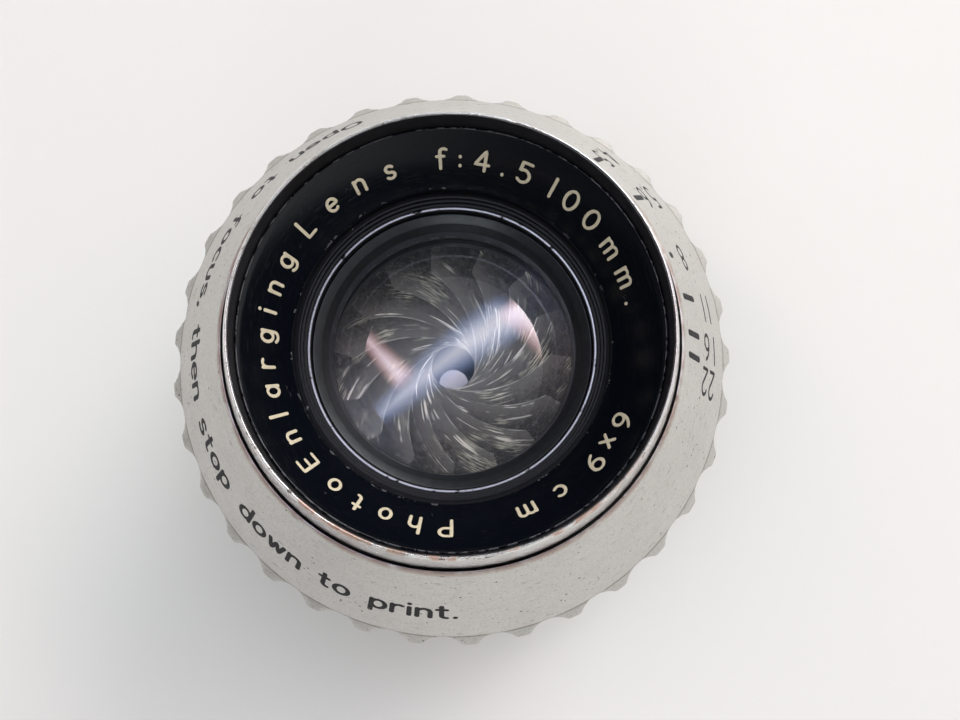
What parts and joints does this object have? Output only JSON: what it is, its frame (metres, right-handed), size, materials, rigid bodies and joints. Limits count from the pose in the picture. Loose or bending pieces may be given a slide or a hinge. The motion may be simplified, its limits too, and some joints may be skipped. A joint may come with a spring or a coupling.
{
  "type": "enlarging lens",
  "caption": "Enlarging lens for projecting film negatives, with a conical fluted aperture ring, a black engraved name ring and a working multi-blade iris in a threaded barrel.",
  "frame": {"origin": "on the optical axis, in the plane of the rear rim that the lens stands on", "axes": "+Z along the optical axis, towards the front of the lens; +X to the right and +Y up as the engraving on the front is read"},
  "size_m": [0.0566, 0.0566, 0.05],
  "materials": {
    "satin_alloy": "satin turned alloy, finely pitted, with worn edges",
    "bright_rim": "bright polished rim, dented and chipped",
    "gloss_black": "gloss blue-black enamel",
    "black_anodised": "semi-gloss black, bright where it is worn",
    "coated_glass": "polished, with a blue and lilac coating",
    "blade_steel": "blackened spring steel with bright rub marks",
    "screw_steel": "plain steel",
    "cream_fill": "cream paint in engraved lettering",
    "black_fill": "black paint in engraved scale marks"
  },
  "bodies": {
    "lens_barrel": {"main_barrel": "black_anodised", "front_bezel": "bright_rim", "name_ring": "gloss_black", "front_cell": "black_anodised", "front_retaining_ring": "black_anodised", "front_crown_glass": "coated_glass", "front_flint_glass": "coated_glass", "iris_base_plate": "black_anodised", "iris_snap_ring": "screw_steel", "mount_barrel": "black_anodised", "middle_cell": "black_anodised", "middle_glass": "coated_glass", "middle_retaining_ring": "black_anodised", "rear_cell": "black_anodised", "rear_flint_glass": "coated_glass", "rear_crown_glass": "coated_glass", "rear_retaining_ring": "black_anodised"},
    "aperture_control": {"aperture_ring": "satin_alloy", "drive_screws": "screw_steel", "iris_cam_ring": "black_anodised"},
    "blade_01": {"iris_blade_01": "blade_steel"},
    "blade_02": {"iris_blade_02": "blade_steel"},
    "blade_03": {"iris_blade_03": "blade_steel"},
    "blade_04": {"iris_blade_04": "blade_steel"},
    "blade_05": {"iris_blade_05": "blade_steel"},
    "blade_06": {"iris_blade_06": "blade_steel"},
    "blade_07": {"iris_blade_07": "blade_steel"},
    "blade_08": {"iris_blade_08": "blade_steel"},
    "blade_09": {"iris_blade_09": "blade_steel"},
    "blade_10": {"iris_blade_10": "blade_steel"},
    "blade_11": {"iris_blade_11": "blade_steel"},
    "blade_12": {"iris_blade_12": "blade_steel"},
    "blade_13": {"iris_blade_13": "blade_steel"},
    "blade_14": {"iris_blade_14": "blade_steel"},
    "blade_15": {"iris_blade_15": "blade_steel"}
  },
  "joints": [
    {"name": "aperture_turn", "type": "hinge", "parent": "lens_barrel", "child": "aperture_control", "pos_m": [0, 0, 0.0326], "axis": [0, 0, 1], "range_deg": [-55, 0]},
    {"name": "blade_01_pivot", "type": "hinge", "parent": "lens_barrel", "child": "blade_01", "pos_m": [0.01485, 0.00209, 0.02559], "axis": [0, 0, 1], "range_deg": [-27.5, 0]},
    {"name": "blade_02_pivot", "type": "hinge", "parent": "lens_barrel", "child": "blade_02", "pos_m": [0.01272, 0.00795, 0.02549], "axis": [0, 0, 1], "range_deg": [-27.5, 0]},
    {"name": "blade_03_pivot", "type": "hinge", "parent": "lens_barrel", "child": "blade_03", "pos_m": [0.00839, 0.01244, 0.02539], "axis": [0, 0, 1], "range_deg": [-27.5, 0]},
    {"name": "blade_04_pivot", "type": "hinge", "parent": "lens_barrel", "child": "blade_04", "pos_m": [0.0026, 0.01477, 0.02529], "axis": [0, 0, 1], "range_deg": [-27.5, 0]},
    {"name": "blade_05_pivot", "type": "hinge", "parent": "lens_barrel", "child": "blade_05", "pos_m": [-0.00363, 0.01455, 0.02519], "axis": [0, 0, 1], "range_deg": [-27.5, 0]},
    {"name": "blade_06_pivot", "type": "hinge", "parent": "lens_barrel", "child": "blade_06", "pos_m": [-0.00923, 0.01182, 0.02509], "axis": [0, 0, 1], "range_deg": [-27.5, 0]},
    {"name": "blade_07_pivot", "type": "hinge", "parent": "lens_barrel", "child": "blade_07", "pos_m": [-0.01324, 0.00704, 0.02499], "axis": [0, 0, 1], "range_deg": [-27.5, 0]},
    {"name": "blade_08_pivot", "type": "hinge", "parent": "lens_barrel", "child": "blade_08", "pos_m": [-0.01496, 0.00105, 0.02489], "axis": [0, 0, 1], "range_deg": [-27.5, 0]},
    {"name": "blade_09_pivot", "type": "hinge", "parent": "lens_barrel", "child": "blade_09", "pos_m": [-0.0141, -0.00513, 0.02479], "axis": [0, 0, 1], "range_deg": [-27.5, 0]},
    {"name": "blade_10_pivot", "type": "hinge", "parent": "lens_barrel", "child": "blade_10", "pos_m": [-0.01079, -0.01042, 0.02469], "axis": [0, 0, 1], "range_deg": [-27.5, 0]},
    {"name": "blade_11_pivot", "type": "hinge", "parent": "lens_barrel", "child": "blade_11", "pos_m": [-0.00562, -0.01391, 0.02459], "axis": [0, 0, 1], "range_deg": [-27.5, 0]},
    {"name": "blade_12_pivot", "type": "hinge", "parent": "lens_barrel", "child": "blade_12", "pos_m": [0.00052, -0.01499, 0.02449], "axis": [0, 0, 1], "range_deg": [-27.5, 0]},
    {"name": "blade_13_pivot", "type": "hinge", "parent": "lens_barrel", "child": "blade_13", "pos_m": [0.00658, -0.01348, 0.02439], "axis": [0, 0, 1], "range_deg": [-27.5, 0]},
    {"name": "blade_14_pivot", "type": "hinge", "parent": "lens_barrel", "child": "blade_14", "pos_m": [0.01149, -0.00964, 0.02429], "axis": [0, 0, 1], "range_deg": [-27.5, 0]},
    {"name": "blade_15_pivot", "type": "hinge", "parent": "lens_barrel", "child": "blade_15", "pos_m": [0.01442, -0.00413, 0.02419], "axis": [0, 0, 1], "range_deg": [-27.5, 0]}
  ],
  "couplings": [
    {"joint": "blade_01_pivot", "follows": "aperture_turn", "ratio": 0.5},
    {"joint": "blade_02_pivot", "follows": "aperture_turn", "ratio": 0.5},
    {"joint": "blade_03_pivot", "follows": "aperture_turn", "ratio": 0.5},
    {"joint": "blade_04_pivot", "follows": "aperture_turn", "ratio": 0.5},
    {"joint": "blade_05_pivot", "follows": "aperture_turn", "ratio": 0.5},
    {"joint": "blade_06_pivot", "follows": "aperture_turn", "ratio": 0.5},
    {"joint": "blade_07_pivot", "follows": "aperture_turn", "ratio": 0.5},
    {"joint": "blade_08_pivot", "follows": "aperture_turn", "ratio": 0.5},
    {"joint": "blade_09_pivot", "follows": "aperture_turn", "ratio": 0.5},
    {"joint": "blade_10_pivot", "follows": "aperture_turn", "ratio": 0.5},
    {"joint": "blade_11_pivot", "follows": "aperture_turn", "ratio": 0.5},
    {"joint": "blade_12_pivot", "follows": "aperture_turn", "ratio": 0.5},
    {"joint": "blade_13_pivot", "follows": "aperture_turn", "ratio": 0.5},
    {"joint": "blade_14_pivot", "follows": "aperture_turn", "ratio": 0.5},
    {"joint": "blade_15_pivot", "follows": "aperture_turn", "ratio": 0.5}
  ]
}
